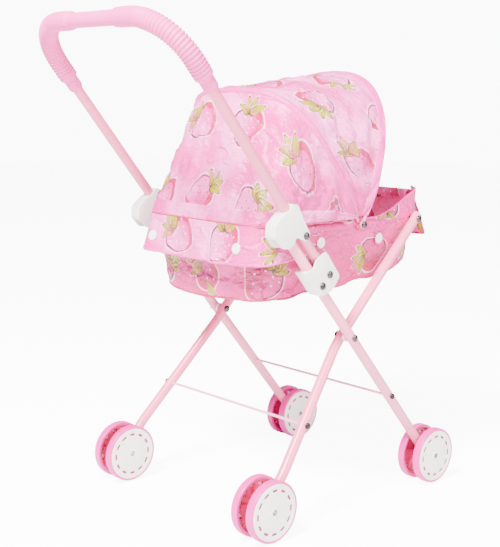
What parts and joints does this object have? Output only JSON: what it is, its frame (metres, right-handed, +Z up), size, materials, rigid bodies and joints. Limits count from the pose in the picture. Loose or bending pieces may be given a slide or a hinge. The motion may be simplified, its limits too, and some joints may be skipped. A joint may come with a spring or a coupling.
{
  "type": "doll stroller",
  "caption": "Folding doll stroller: a tubular X frame on twin wheels carries a soft open carrycot with a folding canopy and a push handle with a padded grip.",
  "frame": {"origin": "On the floor, midway between the left and right wheels and midway along the stroller's length.", "axes": "+X is the stroller's left side, -Y is the way it drives, +Z is up."},
  "size_m": [0.2952, 0.4738, 0.5732],
  "materials": {
    "pink_paint": "glossy pale pink enamel",
    "pink_sleeve": "soft ribbed foam rubber",
    "pink_plastic": "moulded pink plastic",
    "white_plastic": "moulded white plastic",
    "steel": "dark plated steel",
    "satin": "thin printed satin",
    "lining": "thin printed satin"
  },
  "bodies": {
    "front_frame": {"front_leg_left": "pink_paint", "front_leg_right": "pink_paint", "hinge_bracket_left": "white_plastic", "hinge_bracket_right": "white_plastic", "bracket_rivet_left": "steel", "bracket_rivet_right": "steel", "hinge_rivet_left": "steel", "hinge_rivet_right": "steel", "cross_rivet_left": "steel", "cross_rivet_right": "steel", "cross_spacer_left": "white_plastic", "cross_spacer_right": "white_plastic", "front_cross_rod": "pink_paint"},
    "handle": {"handle_tube": "pink_paint", "handle_grip": "pink_sleeve", "lock_clip_left": "white_plastic", "lock_clip_right": "white_plastic", "seat_rivet_left": "steel", "seat_rivet_right": "steel"},
    "rear_frame": {"rear_leg_left": "pink_paint", "rear_leg_right": "pink_paint", "leg_top_rivet_left": "steel", "leg_top_rivet_right": "steel", "rear_cross_rod": "pink_paint"},
    "seat": {"seat_rim": "pink_paint", "basket": "lining", "rear_flap": "satin", "canopy_rear_panel": "satin", "canopy_rivet_left": "steel", "canopy_rivet_right": "steel", "snap_rear_left": "white_plastic", "snap_rear_right": "white_plastic", "snap_front_left": "white_plastic", "snap_front_right": "white_plastic"},
    "canopy_mid": {"canopy_mid_bow": "pink_paint"},
    "canopy_front": {"canopy_front_bow": "pink_paint", "canopy_front_panel": "satin"},
    "front_wheels_left": {"front_wheel_outer_left": "pink_plastic", "front_wheel_inner_left": "pink_plastic", "front_wheel_outer_cover_left": "white_plastic", "front_wheel_inner_cover_left": "white_plastic", "front_wheel_axle_left": "steel"},
    "front_wheels_right": {"front_wheel_outer_right": "pink_plastic", "front_wheel_inner_right": "pink_plastic", "front_wheel_outer_cover_right": "white_plastic", "front_wheel_inner_cover_right": "white_plastic", "front_wheel_axle_right": "steel"},
    "rear_wheels_left": {"rear_wheel_outer_left": "pink_plastic", "rear_wheel_inner_left": "pink_plastic", "rear_wheel_outer_cover_left": "white_plastic", "rear_wheel_inner_cover_left": "white_plastic", "rear_wheel_axle_left": "steel"},
    "rear_wheels_right": {"rear_wheel_outer_right": "pink_plastic", "rear_wheel_inner_right": "pink_plastic", "rear_wheel_outer_cover_right": "white_plastic", "rear_wheel_inner_cover_right": "white_plastic", "rear_wheel_axle_right": "steel"}
  },
  "joints": [
    {"name": "handle_fold", "type": "hinge", "parent": "front_frame", "child": "handle", "pos_m": [0, -0.00493, 0.287], "axis": [1, 0, 0], "range_deg": [0, 160], "deforming": ["basket"]},
    {"name": "rear_leg_fold", "type": "hinge", "parent": "front_frame", "child": "rear_frame", "pos_m": [0, -0.05293, 0.2065], "axis": [1, 0, 0], "range_deg": [0, 85.96]},
    {"name": "seat_fold", "type": "hinge", "parent": "handle", "child": "seat", "pos_m": [0, 0.03448, 0.33396], "axis": [1, 0, 0], "range_deg": [-107.4, 0]},
    {"name": "canopy_fold", "type": "hinge", "parent": "seat", "child": "canopy_mid", "pos_m": [0, -0.08693, 0.33621], "axis": [1, 0, 0], "range_deg": [-33, 0], "deforming": ["canopy_rear_panel"]},
    {"name": "canopy_front_fold", "type": "hinge", "parent": "canopy_mid", "child": "canopy_front", "pos_m": [0, -0.08693, 0.33621], "axis": [1, 0, 0], "range_deg": [-42, 0], "deforming": ["canopy_front_panel"]},
    {"name": "front_wheels_left_roll", "type": "hinge", "parent": "front_frame", "child": "front_wheels_left", "pos_m": [0.1215, -0.20193, 0.035], "axis": [1, 0, 0], "continuous": true},
    {"name": "front_wheels_right_roll", "type": "hinge", "parent": "front_frame", "child": "front_wheels_right", "pos_m": [-0.1215, -0.20193, 0.035], "axis": [1, 0, 0], "continuous": true},
    {"name": "rear_wheels_left_roll", "type": "hinge", "parent": "rear_frame", "child": "rear_wheels_left", "pos_m": [0.13, 0.09107, 0.035], "axis": [1, 0, 0], "continuous": true},
    {"name": "rear_wheels_right_roll", "type": "hinge", "parent": "rear_frame", "child": "rear_wheels_right", "pos_m": [-0.13, 0.09107, 0.035], "axis": [1, 0, 0], "continuous": true}
  ],
  "couplings": [
    {"joint": "rear_leg_fold", "follows": "handle_fold", "ratio": 0.53725},
    {"joint": "seat_fold", "follows": "handle_fold", "ratio": -0.67123},
    {"joint": "canopy_front_fold", "follows": "canopy_fold", "ratio": 1.2727}
  ]
}
